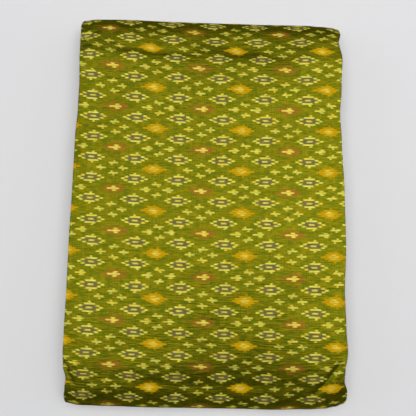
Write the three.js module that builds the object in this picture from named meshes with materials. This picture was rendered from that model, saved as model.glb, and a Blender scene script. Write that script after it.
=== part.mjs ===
// A cut length of ikat silk, folded into a packet.
// The cloth is one solid. It is quartered lengthwise, selvedges inside, into a strip a quarter as
// wide, and the strip is folded over and over on itself into ten passes with two rolled ends.
// Millimetres. +Z up, +X along the weft, +Y along the warp from the near end to the far end.
// The origin is on the surface that the packet lies on, under the middle of its box.
import * as THREE from "three";

// Driving dimensions
const CLOTH_WIDTH = 1000; // selvedge to selvedge
const STRIP_WIDTH = CLOTH_WIDTH / 4;
const STRIP = 1.8; // four plies of cloth pressed together
const AIR = 0.7; // left between one pass and the next
const PASSES = 10;
const LENGTH = 367; // over both rolled ends
const HEIGHT = 26; // at the middle of the packet

// Sizes worked out from them. Flat sizes are those of the neat packet, before it is laid down.
const PITCH = STRIP + AIR;
const FLAT_HEIGHT = (PASSES - 1) * PITCH + STRIP;
const EDGE = STRIP_WIDTH / 2;

// Each rolled end. It turns round within `turn` of its tip. Its top rises from the tip, `tip` above
// the surface, in a quarter round of length `roll`, and by `drop` more from `foot` to `shoulder`.
// Its underside meets the surface `corner` in from the tip. `under` passes lie below it.
const ENDS = {
  near: {
    side: -1,
    turn: 20,
    tip: 5.5,
    roll: 28,
    drop: 2,
    foot: 14,
    shoulder: 46,
    corner: 10,
    under: 0,
  },
  far: {
    side: 1,
    turn: 17,
    tip: 10,
    roll: 26,
    drop: 2.1,
    foot: 22,
    shoulder: 46,
    corner: 8,
    under: 1,
  },
};
for (const end of Object.values(ENDS)) {
  end.base = end.under * PITCH;
  end.radius = (FLAT_HEIGHT - end.base) / 2;
  end.middle = end.base + end.radius;
  end.start = LENGTH / 2 - end.turn;
  end.stretch = end.turn / end.radius;
}

// The order in which the strip runs through the passes, numbered from the top, and how far each
// pass's two fold edges stand out of the neat packet.
const RUN_ORDER = [10, 1, 9, 2, 8, 3, 7, 4, 6, 5];
const PASS_EDGES = {
  1: { left: 0, right: 0 },
  2: { left: -1.4, right: -0.8 },
  3: { left: -0.4, right: -2.0 },
  4: { left: -2.2, right: -0.6 },
  5: { left: -1.0, right: -1.6 },
  6: { left: -2.6, right: -0.9 },
  7: { left: -0.8, right: -2.4 },
  8: { left: -1.7, right: -1.2 },
  9: { left: -0.3, right: -2.1 },
  10: { left: -1.2, right: -0.4 },
};
const FREE_END = 6; // how far the outer free end reaches past the start of the far roll

// Divisions of a pass along its length, and of a turn round a rolled end.
const PASS_CELLS = 16;
const WIDE_TURN = 3 * PITCH;
const WIDE_TURN_CELLS = 10;
const TIGHT_TURN_CELLS = 6;

// How far the top pass's fold edges stand out of the neat packet, from the near end to the far end.
const SIDE_LINE = [
  { at: -184, left: -1.6, right: 2.0 },
  { at: -175, left: -2.2, right: 2.4 },
  { at: -168, left: -3.4, right: 1.2 },
  { at: -157, left: -4.2, right: -2.0 },
  { at: -145, left: -1.8, right: -1.4 },
  { at: -130, left: -0.9, right: 0.9 },
  { at: -108, left: -0.9, right: -0.2 },
  { at: -76, left: -1.0, right: -1.0 },
  { at: -34, left: -0.6, right: 0.7 },
  { at: 12, left: -1.0, right: 0.1 },
  { at: 62, left: -0.9, right: -1.6 },
  { at: 88, left: -1.9, right: -2.7 },
  { at: 112, left: -1.9, right: -1.1 },
  { at: 144, left: -0.6, right: -0.1 },
  { at: 163, left: -0.1, right: -2.8 },
  { at: 174, left: 1.2, right: 0.2 },
  { at: 184, left: 1.4, right: 0.4 },
];

// How far the two tips reach past the neat packet, from the left edge to the right edge.
const TIP_LINE = [
  { at: -EDGE, near: -2.8, far: -0.6 },
  { at: -112, near: -0.9, far: 1.2 },
  { at: -88, near: -0.6, far: 1.7 },
  { at: -40, near: 0.1, far: 0.8 },
  { at: 15, near: 0.2, far: 0.5 },
  { at: 60, near: 0.2, far: -0.4 },
  { at: 92, near: -1.1, far: -0.9 },
  { at: 108, near: -2.2, far: -2.0 },
  { at: 117, near: -4.0, far: -2.8 },
  { at: EDGE, near: -6.6, far: -4.4 },
];
const TIP_REACH = 70; // the tips' unevenness dies out this far in

// Soft hollows and swells of the top, each a rounded patch of its own length and width.
const SWELLS = [
  { x: 24, y: -157, long: 60, wide: 54, rise: -5.4 },
  { x: 34, y: -175, long: 75, wide: 24, rise: -2.8 },
  { x: 114, y: -160, long: 14, wide: 14, rise: 0.5 },
  { x: 112, y: -122, long: 18, wide: 22, rise: 0.8 },
  { x: 60, y: 20, long: 60, wide: 90, rise: 0.8 },
  { x: 14, y: 172, long: 62, wide: 36, rise: -2.8 },
  { x: 20, y: 166, long: 65, wide: 12, rise: -0.8 },

  { x: -112, y: 158, long: 18, wide: 26, rise: 1.0 },
  { x: 112, y: 156, long: 26, wide: 28, rise: 2.0 },
];
const STEADY = EDGE / 3; // the outline's unevenness reaches in to here on each side

const HAIR = 1e-3; // half the thickness that the neat packet is given at its very tips

const { smoothstep, lerp } = THREE.MathUtils;

// The value in a column of a table at a place between its rows, with soft turns at the rows.
function between(rows, column, at) {
  let next = 1;
  while (next < rows.length - 1 && rows[next].at < at) next += 1;
  const [a, b] = [rows[next - 1], rows[next]];
  return lerp(a[column], b[column], smoothstep(at, a.at, b.at));
}

// The height of a quarter round, 0 at its foot and 1 from its crown on.
const quarterRound = (share) => Math.sqrt(1 - (1 - Math.min(share, 1)) ** 2);

// The height of the packet's top at a point, `inward` from the tip of an end.
function topAt(x, y, end, inward) {
  const shoulder = end.drop * smoothstep(inward, end.foot, end.shoulder);
  const roll = (HEIGHT - end.drop - end.tip) * quarterRound(inward / end.roll);
  const swell = SWELLS.reduce((sum, s) => {
    const reach = ((x - s.x) / s.long) ** 2 + ((y - s.y) / s.wide) ** 2;
    return sum + s.rise * Math.exp(-reach);
  }, 0);
  return end.tip + roll + shoulder + swell * smoothstep(inward, 0, end.roll / 2);
}

// Lays a point of the neat packet down where it lies in the real one: the rolled ends are drawn out
// and sunk, the heights follow the top, and the outline takes its uneven edges.
function laidDown(x, y, z, edges) {
  const end = y < 0 ? ENDS.near : ENDS.far;
  const past = Math.max(Math.abs(y) - end.start, 0);
  const reach = Math.abs(y) + past * (end.stretch - 1);
  const inward = Math.max(LENGTH / 2 - reach, 0);

  const top = topAt(x, y, end, inward);
  const squeeze = top / FLAT_HEIGHT;
  let height = z * squeeze;
  if (z > end.base) {
    const half = Math.max(Math.sqrt(Math.max(end.radius ** 2 - past ** 2, 0)), HAIR);
    const share = (z - end.middle + half) / (2 * half);
    const floor = end.base * squeeze;
    const lowest = floor + (end.tip - floor) * (1 - quarterRound(inward / end.corner));
    height = lerp(lowest, top, share);
  }

  const column = end.side < 0 ? "near" : "far";
  const tip = between(TIP_LINE, column, x) * smoothstep(-inward, -TIP_REACH, 0);
  const side = x < 0 ? "left" : "right";
  const line = between(SIDE_LINE, side, end.side * reach) * (height / HEIGHT);
  const outward = (line + edges[side]) * smoothstep(Math.abs(x), STEADY, EDGE);
  return [x + Math.sign(x) * outward, end.side * (reach + tip), height];
}

// The strip's stations, from its outer free end to its inner one, on the neat packet's section.
// Each has its place, the direction out of the strip's outer face, and its fold edges.
function stripStations() {
  const stations = [];
  const heightOf = (pass) => (PASSES - pass) * PITCH + STRIP / 2;
  const add = (y, z, outY, outZ, edges) => stations.push({ y, z, outY, outZ, edges });

  RUN_ORDER.forEach((pass, i) => {
    const to = i % 2 ? ENDS.far : ENDS.near;
    const from = i % 2 ? ENDS.near : ENDS.far;
    const last = i === RUN_ORDER.length - 1;
    const up = pass <= PASSES / 2 ? 1 : -1;
    const begin = from.side * (from.start + (i ? 0 : FREE_END));
    const finish = to.side * to.start;
    for (let n = i ? 1 : 0; n <= PASS_CELLS; n++) {
      const share = n / PASS_CELLS;
      const eased = (share + smoothstep(share, 0, 1)) / 2;
      add(lerp(begin, finish, eased), heightOf(pass), 0, up, PASS_EDGES[pass]);
    }
    if (last) return;

    const next = RUN_ORDER[i + 1];
    const radius = Math.abs(heightOf(next) - heightOf(pass)) / 2;
    const cells = radius > WIDE_TURN ? WIDE_TURN_CELLS : TIGHT_TURN_CELLS;
    for (let n = 1; n <= cells; n++) {
      const share = n / cells;
      const angle = up * Math.PI * (0.5 - share);
      const edges = {
        left: lerp(PASS_EDGES[pass].left, PASS_EDGES[next].left, share),
        right: lerp(PASS_EDGES[pass].right, PASS_EDGES[next].right, share),
      };
      const [outY, outZ] = [to.side * Math.cos(angle), Math.sin(angle)];
      add(to.side * to.start + radius * outY, to.middle + radius * outZ, outY, outZ, edges);
    }
  });
  return stations;
}

// Where the strip's width is divided: closer near its fold edges, where the outline turns.
const HALF_COLUMNS = [0.2, 0.6, 0.84, 0.94, 1].map((share) => share * EDGE);
const COLUMNS = [...HALF_COLUMNS.map((x) => -x).reverse(), ...HALF_COLUMNS];

// The flat strip is a long thin box, one division for each station, and each of its corners is then
// moved to its place in the fold.
function foldedCloth() {
  const stations = stripStations();
  const [columns, rows] = [COLUMNS.length - 1, stations.length - 1];
  const strip = new THREE.BoxGeometry(columns, rows, STRIP, columns, rows, 1);
  const corner = strip.attributes.position;
  for (let i = 0; i < corner.count; i++) {
    const x = COLUMNS[Math.round(corner.getX(i) + columns / 2)];
    const { y, z, outY, outZ, edges } = stations[Math.round(corner.getY(i) + rows / 2)];
    const out = corner.getZ(i);
    corner.setXYZ(i, ...laidDown(x, y + out * outY, z + out * outZ, edges));
  }
  strip.computeBoundingBox();
  const middle = strip.boundingBox.getCenter(new THREE.Vector3());
  strip.translate(-middle.x, -middle.y, -strip.boundingBox.min.z);
  strip.computeVertexNormals();
  return strip;
}

const silk = new THREE.MeshStandardMaterial({ color: 0x868617, roughness: 0.5, metalness: 0 });
const cloth = new THREE.Mesh(foldedCloth(), silk);
cloth.name = "folded_cloth";

const packet = new THREE.Group();
packet.add(cloth);

export default packet;
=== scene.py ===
import math

import bpy
import numpy as np
from mathutils import Matrix, Vector


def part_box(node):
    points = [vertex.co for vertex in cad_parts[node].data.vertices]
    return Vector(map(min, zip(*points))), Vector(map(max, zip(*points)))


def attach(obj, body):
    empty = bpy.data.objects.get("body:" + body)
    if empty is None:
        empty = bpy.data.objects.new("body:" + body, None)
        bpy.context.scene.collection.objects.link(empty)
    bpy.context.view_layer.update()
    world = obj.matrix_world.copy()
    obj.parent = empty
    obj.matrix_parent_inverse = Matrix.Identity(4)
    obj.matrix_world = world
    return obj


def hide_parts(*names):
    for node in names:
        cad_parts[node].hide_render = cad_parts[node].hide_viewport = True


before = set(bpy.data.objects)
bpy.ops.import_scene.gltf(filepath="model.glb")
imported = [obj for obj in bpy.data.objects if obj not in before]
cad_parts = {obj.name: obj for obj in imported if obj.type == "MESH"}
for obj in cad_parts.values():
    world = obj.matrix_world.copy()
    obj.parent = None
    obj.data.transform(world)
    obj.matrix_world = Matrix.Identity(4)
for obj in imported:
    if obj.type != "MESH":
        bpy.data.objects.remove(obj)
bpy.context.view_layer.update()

# ---------------------------------------------------------------------------------------------
# The floor: the plain pale surface that the packet lies on. It isn't part of the cloth.
# ---------------------------------------------------------------------------------------------
bpy.ops.mesh.primitive_plane_add(size=4.0, location=(0, 0, 0))
floor = bpy.context.object
floor.name = "floor"
paper = bpy.data.materials.new("pale_floor")
paper.use_nodes = True
paper_shader = paper.node_tree.nodes["Principled BSDF"]
paper_shader.inputs["Base Color"].default_value = (0.73, 0.73, 0.74, 1)
paper_shader.inputs["Roughness"].default_value = 0.9
floor.data.materials.append(paper)

# ---------------------------------------------------------------------------------------------
# The cloth: one length of weft ikat silk, a metre wide between its selvedges. It is quartered
# lengthwise into a strip of four plies, selvedges inside, and the strip is folded over and over
# on itself, back and forth ten times, with one cut end underneath and the other one inside.
# ---------------------------------------------------------------------------------------------
MM = 0.001

# The neat packet, in millimetres, with the weft along X and the warp along Y.
EDGE, LENGTH, HEIGHT = 125.0, 367.0, 26.0
STRIP, PITCH, PASSES = 1.8, 2.5, 10
FLAT_HEIGHT = (PASSES - 1) * PITCH + STRIP
SILK, PLY = 0.3, 0.5  # the silk's own thickness, and the distance from one ply to the next

# The rolled ends: where the strip turns, how high the tip lies, how the top rises from it in a
# quarter round and a shoulder, and how the underside turns up to it.
ENDS = {
    -1: dict(turn=20, tip=5.5, roll=28, drop=2.0, foot=14, shoulder=46, corner=10, base=0.0),
    1: dict(turn=17, tip=10, roll=26, drop=2.1, foot=22, shoulder=46, corner=8, base=PITCH),
}
for end in ENDS.values():
    end["radius"] = (FLAT_HEIGHT - end["base"]) / 2
    end["middle"] = end["base"] + end["radius"]
    end["start"] = LENGTH / 2 - end["turn"]
    end["stretch"] = end["turn"] / end["radius"]
HAIR = 1e-3  # half the thickness that the neat packet is given at its very tips

# The strip's run through the passes, numbered from the top, and how far each pass's two fold
# edges stand out of the neat packet.
RUN_ORDER = (10, 1, 9, 2, 8, 3, 7, 4, 6, 5)
PASS_EDGES = {
    1: (0.0, 0.0), 2: (-1.4, -0.8), 3: (-0.4, -2.0), 4: (-2.2, -0.6), 5: (-1.0, -1.6),
    6: (-2.6, -0.9), 7: (-0.8, -2.4), 8: (-1.7, -1.2), 9: (-0.3, -2.1), 10: (-1.2, -0.4),
}
FREE_END = 6.0  # how far the outer free end reaches past the start of the far roll

# The top pass's outline. Along the packet: place, how far the left and right edges stand out.
SIDE_LINE = np.array([
    (-184, -1.6, 2.0), (-175, -2.2, 2.4), (-168, -3.4, 1.2), (-157, -4.2, -2.0),
    (-145, -1.8, -1.4), (-130, -0.9, 0.9), (-108, -0.9, -0.2), (-76, -1.0, -1.0),
    (-34, -0.6, 0.7), (12, -1.0, 0.1), (62, -0.9, -1.6), (88, -1.9, -2.7),
    (112, -1.9, -1.1), (144, -0.6, -0.1), (163, -0.1, -2.8), (174, 1.2, 0.2),
    (184, 1.4, 0.4),
])
# Across it: place, how far the near and the far tips stand out.
TIP_LINE = np.array([
    (-125, -2.8, -0.6), (-112, -0.9, 1.2), (-88, -0.6, 1.7), (-40, 0.1, 0.8),
    (15, 0.2, 0.5), (60, 0.2, -0.4), (92, -1.1, -0.9), (108, -2.2, -2.0), (117, -4.0, -2.8),
    (125, -6.6, -4.4),
])
STEADY = EDGE / 3  # the sides' unevenness reaches in to here
TIP_REACH = 70  # and the tips' unevenness dies out this far in

# Rounded patches: x, y, reach across, reach along, rise. One is the packet's own slight crown,
# and the others are how it has slumped since: a deep trough behind the near roll, a shallower
# one before the far roll, and swells at the corners.
CROWN = ((60, 20, 60, 90, 0.8),)
SLUMPS = (
    (34, -175, 75, 24, -2.8), (24, -157, 60, 54, -5.4), (114, -160, 14, 14, 0.5),
    (-102, -158, 34, 9, -0.8), (112, -122, 18, 22, 0.8), (14, 172, 62, 36, -2.8),
    (-112, 158, 18, 26, 1.0), (20, 166, 65, 12, -0.8), (112, 156, 26, 28, 2.0),
)


def smoothstep(at, low, high):
    share = np.clip((at - low) / (high - low), 0, 1)
    return share * share * (3 - 2 * share)


def quarter_round(share):
    return np.sqrt(np.clip(1 - (1 - np.minimum(share, 1)) ** 2, 0, 1))


def rise_of(patches, x, y):
    return sum(
        rise * np.exp(-(((x - patch_x) / across) ** 2) - ((y - patch_y) / along) ** 2)
        for patch_x, patch_y, across, along, rise in patches
    )


def between(rows, column, at):
    """The value in a column of a table at a place between its rows, with soft turns."""
    places, values = rows[:, 0], rows[:, column]
    after = np.clip(np.searchsorted(places, at), 1, len(places) - 1)
    ease = smoothstep(at, places[after - 1], places[after])
    return values[after - 1] + (values[after] - values[after - 1]) * ease


def top_at(x, y, end, inward):
    """The height of the packet's top, at a distance inward from the tip of an end."""
    roll = (HEIGHT - end["drop"] - end["tip"]) * quarter_round(inward / end["roll"])
    shoulder = end["drop"] * smoothstep(inward, end["foot"], end["shoulder"])
    crown = rise_of(CROWN, x, y) * smoothstep(inward, 0, end["roll"])
    return end["tip"] + roll + shoulder + crown


def laid_down(x, y, z, left, right):
    """Points of the neat packet moved to where they lie in the real one."""
    places = np.empty(x.shape + (3,))
    for side, end in ENDS.items():
        here = (y < 0) if side < 0 else (y >= 0)
        px, py, pz = x[here], y[here], z[here]
        past = np.maximum(np.abs(py) - end["start"], 0)
        reach = np.abs(py) + past * (end["stretch"] - 1)
        inward = np.maximum(LENGTH / 2 - reach, 0)

        top = top_at(px, py, end, inward)
        squeeze = top / FLAT_HEIGHT
        half = np.maximum(np.sqrt(np.maximum(end["radius"] ** 2 - past**2, 0)), HAIR)
        share = (pz - end["middle"] + half) / (2 * half)
        under = end["base"] * squeeze
        lowest = under + (end["tip"] - under) * (1 - quarter_round(inward / end["corner"]))
        height = np.where(pz > end["base"], lowest + (top - lowest) * share, pz * squeeze)

        tip = between(TIP_LINE, 1 if side < 0 else 2, px)
        tip = tip * smoothstep(-inward, -TIP_REACH, 0)
        line = np.where(
            px < 0,
            between(SIDE_LINE, 1, side * reach),
            between(SIDE_LINE, 2, side * reach),
        )
        outward = line * (height / HEIGHT) + np.where(px < 0, left[here], right[here])
        outward = outward * smoothstep(np.abs(px), STEADY, EDGE)
        moved_x = px + np.sign(px) * outward
        places[here] = np.stack([moved_x, side * (reach + tip), height], -1)
    return places


SAMPLES = 1001  # how finely the divisions' crowding is added up


def spread(low, high, cells, crowds):
    """Divisions from low to high, closer together near places: place, reach, how much."""
    at = np.linspace(low, high, SAMPLES)
    crowd = 1 + sum(
        much * np.exp(-(((at - place) / reach) ** 2)) for place, reach, much in crowds
    )
    share = np.concatenate([[0], np.cumsum(crowd[1:] + crowd[:-1])])
    return np.interp(np.linspace(0, share[-1], cells + 1), share, at)


# The strip's stations from its outer free end to its inner one: place on the neat packet's
# section, the way out of the strip's outer face, and the fold edges. The fold edges of the
# passes below the top one waver: wave length, share and how that dies out towards the ends.
PASS_CELLS = {1: 132, 2: 28, 10: 30}
HIDDEN_CELLS = 12
ROW_CROWDS = ((-150, 20, 1.6), (152, 16, 1.3))
TURN_CELLS = ((9, 20), (6, 12), (0, 7))  # divisions of a turn whose radius is over this
WAVER, LONG_WAVE, SHORT_WAVE, SHORT_SHARE = 0.55, 17, 7.3, 0.6
CALM_SLOPE, CALM_REACH = 0.72, 30
rng = np.random.default_rng(11)
stations, passes = [], []
for i, number in enumerate(RUN_ORDER):
    to, come = (1, -1) if i % 2 else (-1, 1)
    up = 1 if number <= PASSES / 2 else -1
    level = (PASSES - number) * PITCH + STRIP / 2
    begin = come * (ENDS[come]["start"] + (0 if i else FREE_END))
    finish = to * ENDS[to]["start"]
    cells = PASS_CELLS.get(number, HIDDEN_CELLS)
    stops = spread(min(begin, finish), max(begin, finish), cells, ROW_CROWDS)
    stops = stops if begin < finish else stops[::-1]
    phases, swing = rng.uniform(0, 2 * math.pi, 4), (0.0 if number == 1 else WAVER)
    for y in stops[1 if i else 0 :]:
        calm = min(1.0, (EDGE - abs(y) * CALM_SLOPE) / CALM_REACH)
        wavers = [
            math.sin(y / LONG_WAVE + a) + SHORT_SHARE * math.sin(y / SHORT_WAVE + b)
            for a, b in (phases[:2], phases[2:])
        ]
        edges = [edge + swing * calm * w for edge, w in zip(PASS_EDGES[number], wavers)]
        stations.append((y, level, 0, up, *edges))
        passes.append(number)
    if i == PASSES - 1:
        break

    after = RUN_ORDER[i + 1]
    radius = abs(number - after) * PITCH / 2
    cells = next(cells for over, cells in TURN_CELLS if radius > over)
    for n in range(1, cells + 1):
        share = n / cells
        angle = up * math.pi * (0.5 - share)
        out_y, out_z = to * math.cos(angle), math.sin(angle)
        edges = [a + (b - a) * share for a, b in zip(PASS_EDGES[number], PASS_EDGES[after])]
        turn_y = to * ENDS[to]["start"] + radius * out_y
        turn_z = ENDS[to]["middle"] + radius * out_z
        stations.append((turn_y, turn_z, out_y, out_z, *edges))
        passes.append(0)
stations, passes = np.array(stations), np.array(passes)
first_of_ninth = np.flatnonzero(passes == PASSES - 1)[0]

# Across the strip: the cloth's path through the four plies, from one selvedge to the other.
# Each entry is a place across the packet and how far out of the strip's middle it lies.
# The inner fold and the two selvedges lie a little in from the outer folds.
FACE_CELLS, PLY_CELLS = 86, 9
FACE_CROWDS = ((-119, 9, 1.6), (108, 16, 1.9), (-124, 1.2, 9), (124.5, 1.2, 9))
PLY_CROWDS = ((-124, 6, 12), (124, 6, 12))
LEFT_FOLD = EDGE - 1.5 * PLY - SILK / 2
INNER_FOLD = LEFT_FOLD - 0.6
RIGHT_FOLD = EDGE - PLY / 2 - SILK / 2
OUTER_SELVEDGE, INNER_SELVEDGE = LEFT_FOLD - 0.8, RIGHT_FOLD - 1.6
path = []


def ply(low, high, out, cells=PLY_CELLS, crowds=PLY_CROWDS, way=1):
    path.extend((x, out) for x in spread(low, high, cells, crowds)[::way])


def fold(x, out, radius, side, turn, cells):
    """The round of a fold, between two plies."""
    for n in range(1, cells):
        angle = turn * math.pi * (n / cells - 0.5)
        path.append((x + side * radius * math.cos(angle), out + radius * math.sin(angle)))


ply(-LEFT_FOLD, OUTER_SELVEDGE, -1.5 * PLY, way=-1)
fold(-LEFT_FOLD, 0, 1.5 * PLY, side=-1, turn=1, cells=6)
face_start = len(path)
ply(-LEFT_FOLD, RIGHT_FOLD, 1.5 * PLY, FACE_CELLS, FACE_CROWDS)
face_end = len(path)
fold(RIGHT_FOLD, PLY, PLY / 2, side=1, turn=-1, cells=4)
ply(-INNER_FOLD, RIGHT_FOLD, PLY / 2, way=-1)
fold(-INNER_FOLD, 0, PLY / 2, side=-1, turn=-1, cells=4)
ply(-INNER_FOLD, INNER_SELVEDGE, -PLY / 2)
path = np.array(path)
rows, columns = len(stations), len(path)

# The packet's points, one row for each station and one column for each place on the path, with
# the middle of its box where the frame has it.
grid = (rows, columns)
y, z, out_y, out_z, left, right = (np.broadcast_to(s[:, None], grid) for s in stations.T)
across, out = (np.broadcast_to(p[None, :], grid) for p in path.T)
places = laid_down(across, y + out * out_y, z + out * out_z, left, right)
centre = (places.reshape(-1, 3).min(0) + places.reshape(-1, 3).max(0)) / 2
low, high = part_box("folded_cloth")
places[..., 0] += (low.x + high.x) / 2 / MM - centre[0]
places[..., 1] += (low.y + high.y) / 2 / MM - centre[1]

# Creases, each a line of points with half its width, its depth, which is below 0 for a ridge, and
# how far the cloth on its left as it runs stands up, and over what reach. The corners come first,
# near right, near left and far left, then the long soft dents beside the two troughs, then nicks
# along the sides and a faint one right of the middle.
CREASES = (
    (((118, -140), (111, -149.5), (105, -157.5), (98, -165)), 2.2, 1.9, 0.6, 12),
    (((121.5, -151), (118.5, -160), (115, -168)), 1.1, -0.5, 0, 1),
    (((-123, -142), (-119.5, -150), (-115, -159)), 1.8, 1.0, 0, 1),
    (((-124, 156), (-117, 161), (-109, 167)), 1.7, 1.2, 0, 1),
    (((-122, 172), (-116, 168), (-109, 170)), 1.4, 0.8, 0, 1),
    (((-118, 152), (-107, 150)), 1.5, 0.4, 0, 1),
    (((-84, 150), (-62, 147.4), (-40, 145.4), (-22, 144.6)), 5.0, 1.0, 0, 1),
    (((18, 149), (45, 147), (74, 142)), 7.0, 1.0, 0, 1),
    (((-72, -154), (-60, -157), (-44, -158)), 5.0, 0.6, 0, 1),
    (((-40, -159), (-14, -161), (8, -160)), 6.0, 0.6, 0, 1),
    (((28, -161), (60, -159), (86, -160)), 6.0, 0.65, 0, 1),
    (((-121.5, 167), (-120.5, 150)), 1.3, 0.7, 0, 1),
    (((-118, 165), (-111, 158)), 1.0, 0.45, 0, 1),
    (((120.5, 172), (120.2, 159)), 0.9, 0.5, 0, 1),
    (((108, -80.5), (121.5, -74)), 1.4, 0.45, 0, 1),
    (((-122.5, 56.5), (-112, 59.7)), 1.5, 0.6, 0, 1),
    (((69, 57), (56, 42)), 1.8, 0.15, 0, 1),
)


def crease_at(x, y, line, half, depth, lift, reach):
    nearest = np.full(x.shape, np.inf)
    side = np.zeros(x.shape)
    for (ax, ay), (bx, by) in zip(line, line[1:]):
        dx, dy = bx - ax, by - ay
        along = np.clip(((x - ax) * dx + (y - ay) * dy) / (dx * dx + dy * dy), 0, 1)
        off_x, off_y = x - ax - along * dx, y - ay - along * dy
        gap = np.hypot(off_x, off_y)
        side = np.where(gap < nearest, (dx * off_y - dy * off_x) / math.hypot(dx, dy), side)
        nearest = np.minimum(gap, nearest)
    stand = lift * (0.5 + 0.5 * np.tanh(side / half)) * np.exp(-((nearest / reach) ** 2))
    return stand - depth * np.exp(-((nearest / half) ** 2))


# Gentle unevenness: waves that run any way, and gathers round the near roll, which come and go
# along it: wave length and phase.
WAVES, WAVE_STEEP, WAVE_LENGTHS, WAVE_PHASES = 12, 0.0022, (26, 80), (0, 7)
GATHERS = ((8.6, 0.4), (5.9, 1.7), (13.7, 2.9))
GATHER_LINE, GATHER_REACH, GATHER_HEIGHT, GATHER_SWELL = -171, 6.5, 0.3, 31
x, y, z = places[..., 0], places[..., 1], places[..., 2]
waves = 0
for _ in range(WAVES):
    heading, length = rng.uniform(0, math.pi), rng.uniform(*WAVE_LENGTHS)
    phase = rng.uniform(*WAVE_PHASES)
    run = x * math.cos(heading) + y * math.sin(heading)
    waves = waves + WAVE_STEEP * length * np.sin(run * 2 * math.pi / length + phase)
for length, phase in GATHERS:
    gather = np.exp(-(((y - GATHER_LINE) / GATHER_REACH) ** 2))
    gather = gather * (0.5 + 0.5 * np.sin(x / GATHER_SWELL + phase))
    ripple = 0.5 + 0.5 * np.sin(x * 2 * math.pi / length + phase)
    waves = waves + GATHER_HEIGHT * gather * ripple

# The creases and waves are in the outermost face ply only, and the cloth under it has sunk away
# from it by as much as SUNK. The waves and the sinking begin at the first distance in from the
# sides or tips and are full at the second. All of it dies out towards the underside.
RELIEF_TOP, SUNK = 24.0, 1.8
SIDE_RIM, TIP_RIM = (0.5, 7), (3, 16)
share = np.clip(z / RELIEF_TOP, 0, 1)
inland = smoothstep(EDGE - np.abs(x), *SIDE_RIM) * smoothstep(LENGTH / 2 - np.abs(y), *TIP_RIM)
face = np.zeros(x.shape)
face[:first_of_ninth, face_start:face_end] = 1
pressed = sum(crease_at(x, y, *crease) for crease in CREASES)
relief = face * (pressed + waves * inland) - (1 - face) * SUNK * inland
places[..., 2] = z + rise_of(SLUMPS, x, y) * share + relief * share**2
places[..., 2] += SILK / 2 - places[..., 2].min()

# Unrolled: how far each point lies along the weft from the packet's middle line, and along
# the warp from the outer free end, on the cloth itself.
steps = np.linalg.norm(np.diff(places, axis=1), axis=2)
weft = np.concatenate([np.zeros((rows, 1)), np.cumsum(steps, 1)], 1)
middle = face_start + int(np.argmin(np.abs(path[face_start:face_end, 0])))
weft -= weft[:, middle : middle + 1] - path[middle, 0]
steps = np.linalg.norm(np.diff(places[:, middle], axis=0), axis=1)
warp = np.concatenate([[0], np.cumsum(steps)])

# The rows of motifs on the top pass: how the weaver's beat and the dyed threads' sideways lean
# vary. Place along the packet, row of lozenges, lean to the right, and how much wider the row
# is woven. Out of sight the beat is even, and the lean wanders from knot to knot.
BAND, COLUMN = 19.6, 40.0
ROWS = np.array([
    (-171.7, 19, -5.6, 0.006), (-153.6, 18, -4.7, 0.008), (-134.9, 17, -3.5, 0.005),
    (-115.6, 16, -2.7, 0.002), (-96.3, 15, -2.7, 0.002), (-76.0, 14, -2.8, 0.0),
    (-55.9, 13, -3.2, 0.0), (-36.8, 12, -3.5, 0.0), (-17.6, 11, -5.0, 0.0),
    (1.8, 10, -7.9, 0.0), (20.9, 9, -7.6, 0.0), (39.9, 8, -7.3, 0.0), (59.4, 7, -7.0, 0.0),
    (78.8, 6, -7.2, 0.005), (98.9, 5, -8.6, 0.008), (118.8, 4, -10.2, 0.016),
    (138.8, 3, -12.2, 0.019), (158.3, 2, -15.6, 0.024), (175.3, 1, -18.2, 0.018),
])
KNOT, WANDER = 90, 10
ROUND_ROLL = 1.12  # length of cloth for each millimetre that it goes on into the far roll
BOW, BOW_MIDDLE, BOW_HALF, BOW_REACH = 2.2, 30, 145, 150  # how the rows bow across the cloth
DYED_COLUMNS = 3.5  # columns of motifs from where the dye's repeat begins to the middle line

row_places, row_numbers, row_leans, row_widths = ROWS.T
top_pass = passes == 1
top_y, top_warp = places[top_pass, middle, 1], warp[top_pass]
marks = np.interp(row_places, top_y, top_warp)
marks[-1] = top_warp[-1] + max(row_places[-1] - top_y[-1], 0) * ROUND_ROLL
marks[0] = min(marks[0], marks[1] - BAND)
picks = np.interp(warp, marks, -row_numbers * BAND)
picks = np.where(warp < marks[0], -row_numbers[0] * BAND + (warp - marks[0]), picks)
picks = np.where(warp > marks[-1], -row_numbers[-1] * BAND + (warp - marks[-1]), picks)

knots = np.arange(0, warp[-1] + KNOT, KNOT)
lean = np.interp(warp, knots, rng.uniform(-WANDER, WANDER, len(knots)))
seen = smoothstep(warp, marks[0] - KNOT, marks[0])
seen = seen * (1 - smoothstep(warp, marks[-1], marks[-1] + KNOT))
lean = lean * (1 - seen) + np.interp(warp, marks, row_leans) * seen
wider = (1 + seen * np.interp(warp, marks, row_widths))[:, None]
bow = BOW * ((weft - BOW_MIDDLE) / BOW_HALF) ** 2
bow = np.where(np.abs(weft) < BOW_REACH, bow, BOW)
dye_u = (weft / wider - lean[:, None] + DYED_COLUMNS * COLUMN) * MM
dye_v = (picks[:, None] - bow) * MM

mesh = bpy.data.meshes.new("ikat_cloth")
index = np.arange(rows * columns).reshape(rows, columns)
quads = np.stack([index[:-1, :-1], index[:-1, 1:], index[1:, 1:], index[1:, :-1]], -1)
quads = quads.reshape(-1, 4)
mesh.from_pydata((places.reshape(-1, 3) * MM).tolist(), [], quads.tolist())
corners = np.empty(len(mesh.loops), np.int32)
mesh.loops.foreach_get("vertex_index", corners)
dye_uv = np.stack([dye_u.ravel()[corners], dye_v.ravel()[corners]], -1)
dye_map = mesh.uv_layers.new(name="dyed_weft")
dye_map.uv.foreach_set("vector", dye_uv.astype(np.float32).ravel())

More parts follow.
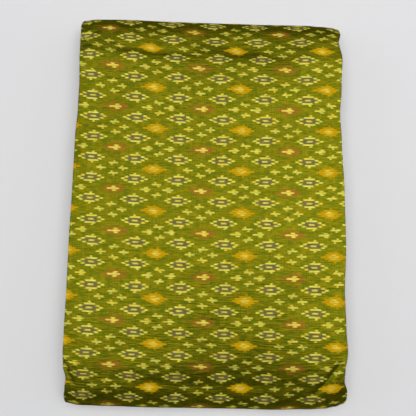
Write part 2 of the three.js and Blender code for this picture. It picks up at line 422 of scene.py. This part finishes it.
# A second map, for baking: a page each for the face ply of the top with its two rolls, for that
# of the underside, for the rest of the face ply, and for the folds and the hidden plies. Each
# page has its faces, and its left and low edge, width and height on the map.
row_of, column_of = np.divmod(np.arange(len(quads)), columns - 1)
face_ply = (column_of >= face_start) & (column_of < face_end - 1)
under = row_of < np.flatnonzero(passes == PASSES)[-1]
over = ~under & (row_of < first_of_ninth)
PAGES = (
    (face_ply & over, 0.005, 0.005, 0.49, 0.86),
    (face_ply & under, 0.505, 0.005, 0.245, 0.342),
    (face_ply & ~over & ~under, 0.505, 0.36, 0.245, 0.62),
    (~face_ply, 0.76, 0.005, 0.235, 0.985),
)
face_width = weft[:, face_end - 1].mean() - weft[:, face_start].mean()
page_uv = np.empty((len(quads), 4, 2))
for chosen, left_edge, low_edge, width, tall in PAGES:
    at = quads[chosen]
    run = weft.ravel()[at] - face_width * (column_of[chosen] >= face_end - 1)[:, None]
    rise = warp[at // columns]
    page_uv[chosen, :, 0] = left_edge + width * (run - run.min()) / np.ptp(run)
    page_uv[chosen, :, 1] = low_edge + tall * (rise - rise.min()) / np.ptp(rise)
bake_map = mesh.uv_layers.new(name="OFBake")
bake_map.uv.foreach_set("vector", page_uv.astype(np.float32).ravel())
mesh.update()

cloth = bpy.data.objects.new("ikat_cloth", mesh)
bpy.context.scene.collection.objects.link(cloth)
bpy.ops.object.select_all(action="DESELECT")
cloth.select_set(True)
bpy.context.view_layer.objects.active = cloth
wall = cloth.modifiers.new("silk", "SOLIDIFY")
wall.thickness, wall.offset = SILK * MM, 0.0
bpy.ops.object.modifier_apply(modifier="silk")
bpy.ops.object.shade_smooth()

# The walls of the cut ends and selvedges come with no width on that map, and are given some.
RIM = 0.0012
bake_uv = mesh.uv_layers["OFBake"].uv
for polygon in list(mesh.polygons)[2 * len(quads) :]:
    loops = list(polygon.loop_indices)
    points = [mesh.loops[n].vertex_index for n in loops]
    far_side = [n for n, point in zip(loops, points) if point >= rows * columns]
    columns_met = {point % (rows * columns) % columns for point in points}
    rows_met = {point % (rows * columns) // columns for point in points}
    axis = 0 if len(columns_met) == 1 else 1
    outward = -RIM if 0 in (columns_met if axis == 0 else rows_met) else RIM
    for n in far_side:
        bake_uv[n].vector[axis] += outward
mesh.uv_layers.active = mesh.uv_layers["dyed_weft"]
mesh.uv_layers["dyed_weft"].active_render = True

# The silk: an olive ground, and motifs dyed on the weft threads before weaving, so each row of
# threads lies a little to one side of the next and the motifs' ends are feathered.
silk = bpy.data.materials.new("ikat_silk")
silk.use_nodes = True
tree = silk.node_tree
shader = tree.nodes["Principled BSDF"]


class Dye:
    """A socket that reads as a number in an expression."""

    def __init__(self, socket):
        self.socket = socket

    @staticmethod
    def node(kind, settings=(), **values):
        """A new node. Each input goes by its name, or by i and its number."""
        made = tree.nodes.new(kind)
        for name, value in dict(settings).items():
            if name == "stops":
                stops = made.color_ramp.elements
                for n, (position, colour) in enumerate(value):
                    stop = stops[n] if n < len(stops) else stops.new(position)
                    stop.position, stop.color = position, colour
            elif name == "interpolation":
                made.color_ramp.interpolation = value
            else:
                setattr(made, name, value)
        for name, value in values.items():
            key = int(name[1:]) if name[1:].isdigit() else name
            if isinstance(value, Dye):
                tree.links.new(value.socket, made.inputs[key])
            else:
                made.inputs[key].default_value = value
        return made

    @staticmethod
    def maths(operation, *values, clamp=False):
        named = {f"i{n}": value for n, value in enumerate(values)}
        made = Dye.node("ShaderNodeMath", {"operation": operation, "use_clamp": clamp}, **named)
        return Dye(made.outputs[0])

    def __add__(self, other):
        return Dye.maths("ADD", self, other)

    def __sub__(self, other):
        return Dye.maths("SUBTRACT", self, other)

    def __rsub__(self, other):
        return Dye.maths("SUBTRACT", other, self)

    def __mul__(self, other):
        return Dye.maths("MULTIPLY", self, other)

    def __truediv__(self, other):
        return Dye.maths("DIVIDE", self, other)

    def __gt__(self, other):
        return Dye.maths("GREATER_THAN", self, other)

    def __mod__(self, other):
        return Dye.maths("FLOORED_MODULO", self, other)

    def __abs__(self):
        return Dye.maths("ABSOLUTE", self)

    def floor(self):
        return Dye.maths("FLOOR", self)

    def clamped(self):
        return Dye.maths("ADD", self, 0.0, clamp=True)

    def rising(self, start, slope):
        """0 up to a start, then up a slope, to 1 at most."""
        return ((self - start) * slope).clamped()

    def from_to(self, low, high):
        """Runs from low, where the value is 0, to high, where it is 1."""
        return self * (high - low) + low

    def larger(self, other):
        return Dye.maths("MAXIMUM", self, other)


def noise(u, v, detail=2.0):
    """Soft patches: from u / 5 and v / 0.9 they come about 5 mm by 0.9 mm large."""
    place = Dye.node("ShaderNodeCombineXYZ", X=u, Y=v)
    made = Dye.node(
        "ShaderNodeTexNoise", {"noise_dimensions": "2D"},
        Vector=Dye(place.outputs[0]), Scale=1.0, Detail=detail,
    )
    return Dye(made.outputs["Fac"])


def scatter(u, v=0.0):
    """A number from 0 to 1 for each pair of whole numbers."""
    place = Dye.node("ShaderNodeCombineXYZ", X=u, Y=v)
    made = Dye.node(
        "ShaderNodeTexWhiteNoise", {"noise_dimensions": "2D"}, Vector=Dye(place.outputs[0])
    )
    return Dye(made.outputs["Value"])


def ramp(place, settings):
    made = Dye.node("ShaderNodeValToRGB", settings, Fac=place)
    split = Dye.node("ShaderNodeSeparateColor", Color=Dye(made.outputs["Color"]))
    return [Dye(split.outputs[n]) for n in range(3)] + [Dye(made.outputs["Alpha"])]


def mix(mask, under, over):
    """One colour over another. Sockets 6 and 7 are the Mix node's two colours."""
    made = Dye.node("ShaderNodeMix", {"data_type": "RGBA"}, Factor=mask, i6=under, i7=over)
    return Dye(made.outputs[2])


# A place on the cloth, in millimetres along the weft and across the picks. The weft threads are
# tied and dyed in bundles of one step, and the same bundles serve every repeat of two bands.
# Each bundle's slip to the right, at its place in the repeat, is the dyer's own unevenness.
STEP = BAND / 12
REPEAT = 2 * BAND
SLIPS = (
    (0.0, 0.1), (2.5, 0.0), (3.6, -0.4), (4.9, 1.4), (6.1, 2.6), (7.8, 2.0), (8.8, 1.6),
    (9.8, 0.7), (10.8, 1.5), (12.2, 2.0), (13.6, 2.4), (14.7, 1.3), (15.9, -0.8), (17.5, 0.0),
    (22.0, 0.2), (23.4, 1.1), (24.6, 0.5), (25.7, -0.6), (27.4, -1.0), (29.4, -1.2),
    (30.5, -2.0), (32.0, -1.6), (33.3, -1.4), (34.3, 0.0), (35.5, 0.7), (37.2, 0.2),
)
SLIP_RANGE = 8.0  # from the least slip that the ramp can hold to the greatest
PAST_SEAM = 1e-3  # keeps a bundle on its own side of where the repeat begins
PICK, PICK_DRAW = 0.54, 7.0  # a few weft threads that lie together, and their own draw
BUNDLE_LOOSE, PICK_LOOSE, BEAT_LOOSE = 0.7, 1.4, 1.4
MM_IN_METRE = 1000
uv_node = Dye.node("ShaderNodeUVMap", {"uv_map": "dyed_weft"})
split = Dye.node("ShaderNodeSeparateXYZ", Vector=Dye(uv_node.outputs[0]))
u, v = (Dye(split.outputs[n]) * MM_IN_METRE for n in (0, 1))
bundle = (v / STEP + 0.5).floor()
in_repeat = (bundle * (STEP / REPEAT) + PAST_SEAM) % 1.0
stops = [(at / REPEAT, (0.5 + slip / SLIP_RANGE,) * 3 + (1.0,)) for at, slip in SLIPS]
slip = ramp(in_repeat, {"interpolation": "LINEAR", "stops": stops})[0]
slip = (slip - 0.5) * SLIP_RANGE
loose = (scatter(bundle) - 0.5) * BUNDLE_LOOSE
loose = loose + (scatter((v / PICK).floor(), PICK_DRAW) - 0.5) * PICK_LOOSE
loose = loose + (noise(u / 60, v / 9) - 0.5) * BEAT_LOOSE
dyed_u = u - slip - loose

# Motifs are charted by weft step, as half widths in millimetres from their middle line.
WIDEST, LAST_STEP = 16.0, 6
ROUNDING = 0.501  # half a step and a hair, from a distance in steps to the nearest step
NO_WIDTH = 0.01


def chart(away, *widths, strengths=()):
    """Half widths at a distance from a motif's middle pick, and their strength."""
    stops = []
    for n in range(max(len(column) for column in (*widths, strengths)) + 1):
        stop = [column[n] / WIDEST if n < len(column) else 0 for column in widths]
        stop += [0] * (3 - len(widths)) + [strengths[n] if n < len(strengths) else 1.0]
        stops.append((n / LAST_STEP, stop))
    place = (away / STEP + ROUNDING) / LAST_STEP
    out = ramp(place, {"interpolation": "CONSTANT", "stops": stops})
    return [value * WIDEST for value in out[: len(widths)]] + out[3:]


def within(x, half, feather=1.3):
    return ((half - abs(x)) / feather + 0.5).clamped() * (half > NO_WIDTH)


# Lozenges in rows: a bar inside a grey purple ring inside stepped arms. The ring is weaker above
# and below the bar than beside it.
lozenge_row = (v / BAND + 0.5).floor()
x = dyed_u - (u / COLUMN + 0.5).floor() * COLUMN
away = abs(v - lozenge_row * BAND)
bar, ring, arm, ring_strength = chart(
    away, (2.5,), (7.5, 5.2), (12.2, 9.0, 4.7, 1.0), strengths=(0.85, 0.68)
)
hollow = chart(away, (9.2, 6.0))[0]
bar_mask = within(x, bar)
ring_mask = within(x, ring) * (1 - bar_mask) * ring_strength
arm_mask = within(x, arm) * (1 - within(x, hollow))

# Between the rows, four fillings take turns: an orange star with a yellow heart, four thin
# crosses, the same four with the two at the sides thicker, and a yellow cross in a brown pink
# halo.
STAR, HEART, STAR_LEFT = (11.4, 7.8, 5.0, 0.5), (4.2, 2.2), 0.9
HALO, CORE, HALO_STRENGTHS = (11.6, 8.6, 5.8, 2.4), (5.6, 1.8), (1.0, 0.9, 0.65, 0.35)
THIN, THICK = (4.3, 0.9), (4.8, 1.8)
SIDE_CROSS, UPPER_CROSS = 10.2, 3 * STEP
STAR_FEATHER, HEART_FEATHER, HALO_FEATHER = 2.0, 2.4, 3.4
gap_u, gap_v = (u / COLUMN).floor(), (v / BAND).floor()
odd_gap, odd_band = gap_u % 2.0, gap_v % 2.0
x = dyed_u - (gap_u + 0.5) * COLUMN
away = abs(v - (gap_v + 0.5) * BAND)

star, heart, _ = chart(away, STAR, HEART)
star_turn = odd_band * (1 - odd_gap)
star_mask = star_turn * within(x + STAR_LEFT, star, STAR_FEATHER)
heart_mask = star_turn * within(x + STAR_LEFT, heart, HEART_FEATHER)

halo, core, halo_strength = chart(away, HALO, CORE, strengths=HALO_STRENGTHS)
halo_turn = (1 - odd_band) * odd_gap
halo_mask = halo_turn * within(x, halo, HALO_FEATHER) * halo_strength
core_mask = halo_turn * within(x, core)

thin, thick, _ = chart(away, THIN, THICK)
upper = chart(abs(away - UPPER_CROSS), THIN)[0]
upper_cross, side_x = within(x, upper), abs(x) - SIDE_CROSS
thin_crosses = odd_band * odd_gap * within(side_x, thin).larger(upper_cross)
thick_crosses = (1 - odd_band) * (1 - odd_gap) * within(side_x, thick).larger(upper_cross)
crosses = thin_crosses.larger(thick_crosses)

# How the dyes have taken: streaks in the yellow, flecks and mottling in the olive, and the other
# dyes uneven, all of it drawn out along the weft, and faint threads along the warp. The binding
# leaves a bundle's two sides a little darker.
BAR_TAKE, CROSS_TAKE, HALO_SHEEN = 0.8, 0.81, 0.6
streak = noise(u / 5, v / 0.9).rising(0.36, 3.6)
fleck = noise(u / 6, v / 0.9, 3.0)
mottle = noise(u / 16, v / 3.4, 3.0)
thread = noise(u / 0.9, v / 26)
tint = noise(u / 22, v / 1.6).rising(0.47, 4)
uneven = noise(u / 6, v / 0.8).rising(0.3, 2.2)
bundle_side = abs((v / STEP + 0.5) % 1.0 - 0.5).rising(0.3, 4)
yellow = (bar_mask * BAR_TAKE).larger(arm_mask * (1 - ring_mask))
yellow = yellow.larger(heart_mask * streak.from_to(0.35, 0.85))
yellow = yellow.larger(core_mask).larger(crosses * CROSS_TAKE)
yellow = yellow * bundle_side.from_to(1.0, 0.6) * streak.from_to(0.52, 1.0)

OLIVE = (0.173, 0.146, 0.0036, 1)
MOSS = (0.085, 0.107, 0.003, 1)
STRAW = (0.212, 0.182, 0.006, 1)
PALE = (0.75, 0.69, 0.105, 1)
GOLD = (0.8, 0.6, 0.036, 1)
ORANGE = (0.57, 0.32, 0.003, 1)
PLUM = (0.135, 0.109, 0.086, 1)
BRICK = (0.37, 0.105, 0.018, 1)
worn = (mottle * 0.5 + fleck * 0.8 + thread * 0.3).rising(0.69, 4.5)
colour = mix(worn, MOSS, OLIVE)
colour = mix((fleck + thread * 0.4).rising(0.72, 3) * 0.7, colour, STRAW)
colour = mix(halo_mask * uneven.from_to(0.36, 0.7), colour, BRICK)
colour = mix(star_mask * uneven.from_to(0.72, 1.0), colour, ORANGE)
plum = mix(noise(u / 7, v / 1.4).rising(0.5, 3) * 0.5, PLUM, BRICK)
colour = mix(ring_mask * uneven.from_to(0.5, 0.84), colour, plum)
colour = mix(yellow, colour, mix(tint, PALE, GOLD))

# The olive silk has a metallic sheen, and the dyed motifs less of it. Slubs along the weft and
# ribs along the warp raise the surface a little.
SLUB_HEIGHT = 0.00045  # in metres
dyed = yellow.larger(star_mask).larger(ring_mask).larger(halo_mask * HALO_SHEEN)
roughness = noise(u / 40, v / 12).from_to(0.3, 0.42)
slubs = noise(u / 11, v / 1.1, 3.0) * 0.6 + noise(u / 1.3, v / 14) * 0.3 + mottle * 0.6
bump = Dye.node("ShaderNodeBump", Strength=1.0, Distance=SLUB_HEIGHT, Height=slubs)
tree.links.new(colour.socket, shader.inputs["Base Color"])
tree.links.new(roughness.socket, shader.inputs["Roughness"])
tree.links.new(dyed.from_to(0.78, 0.08).socket, shader.inputs["Metallic"])
tree.links.new(bump.outputs[0], shader.inputs["Normal"])
shader.inputs["Specular Tint"].default_value = (0.2, 0.2, 0.2, 1)
shader.inputs["Specular IOR Level"].default_value = 0.0
cloth.data.materials.append(silk)

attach(cloth, "root")
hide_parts("folded_cloth")

# ---------------------------------------------------------------------------------------------
# The light: one large soft lamp overhead, a long panel beside it on the right and a short one
# near on the left, and a soft lamp far out on each side, in a dim room. Each lamp has its place,
# its size across and along, its power, and how far it is turned about Y.
# ---------------------------------------------------------------------------------------------
LAMPS = (
    ("overhead", (0.2, 0.42, 1.8), (3.1, 2.2), 42.6, 0),
    ("panel", (0.85, 0.1, 1.79), (0.7, 2.1), 4.4, 0),
    ("panel", (-0.8, -0.6, 1.79), (0.5, 0.9), 2.5, 0),
    ("side", (-2.0, 0.5, 0.75), (1.2, 2.2), 9.0, -72),
    ("side", (2.0, 0.5, 0.75), (1.2, 2.2), 9.0, 72),
)
for name, lamp_place, (wide, tall), power, turn in LAMPS:
    light = bpy.data.lights.new(name, "AREA")
    light.shape, light.size, light.size_y, light.energy = "RECTANGLE", wide, tall, power
    lamp = bpy.data.objects.new(name, light)
    lamp.location, lamp.rotation_euler = lamp_place, (0, math.radians(turn), 0)
    bpy.context.scene.collection.objects.link(lamp)

room = bpy.context.scene.world or bpy.data.worlds.new("room")
bpy.context.scene.world = room
room.use_nodes = True
room_light = room.node_tree.nodes["Background"]
room_light.inputs["Color"].default_value = (0.95, 0.97, 1.0, 1)
room_light.inputs["Strength"].default_value = 0.04
bpy.context.scene.view_settings.view_transform = "Standard"

# ---------------------------------------------------------------------------------------------
# The camera: 400 mm above the floor, looking down 6.5 degrees off vertical from the near side
# and turned a little about that line, with a lens as long as its sensor is wide.
# ---------------------------------------------------------------------------------------------
EYE = Vector((1.212, -46.476, 401.57)) * MM
RIGHT, AHEAD = Vector((0.99978, 0.02094, 0.0)), Vector((-0.00237, 0.11318, -0.99357))
lens = bpy.data.cameras.new("overhead_view")
lens.lens, lens.sensor_width = 36.0, 36.0
camera = bpy.data.objects.new("overhead_view", lens)
facing = Matrix((RIGHT, RIGHT.cross(AHEAD), -AHEAD)).transposed()
camera.matrix_world = Matrix.Translation(EYE) @ facing.to_4x4()
bpy.context.scene.collection.objects.link(camera)
bpy.context.scene.camera = camera
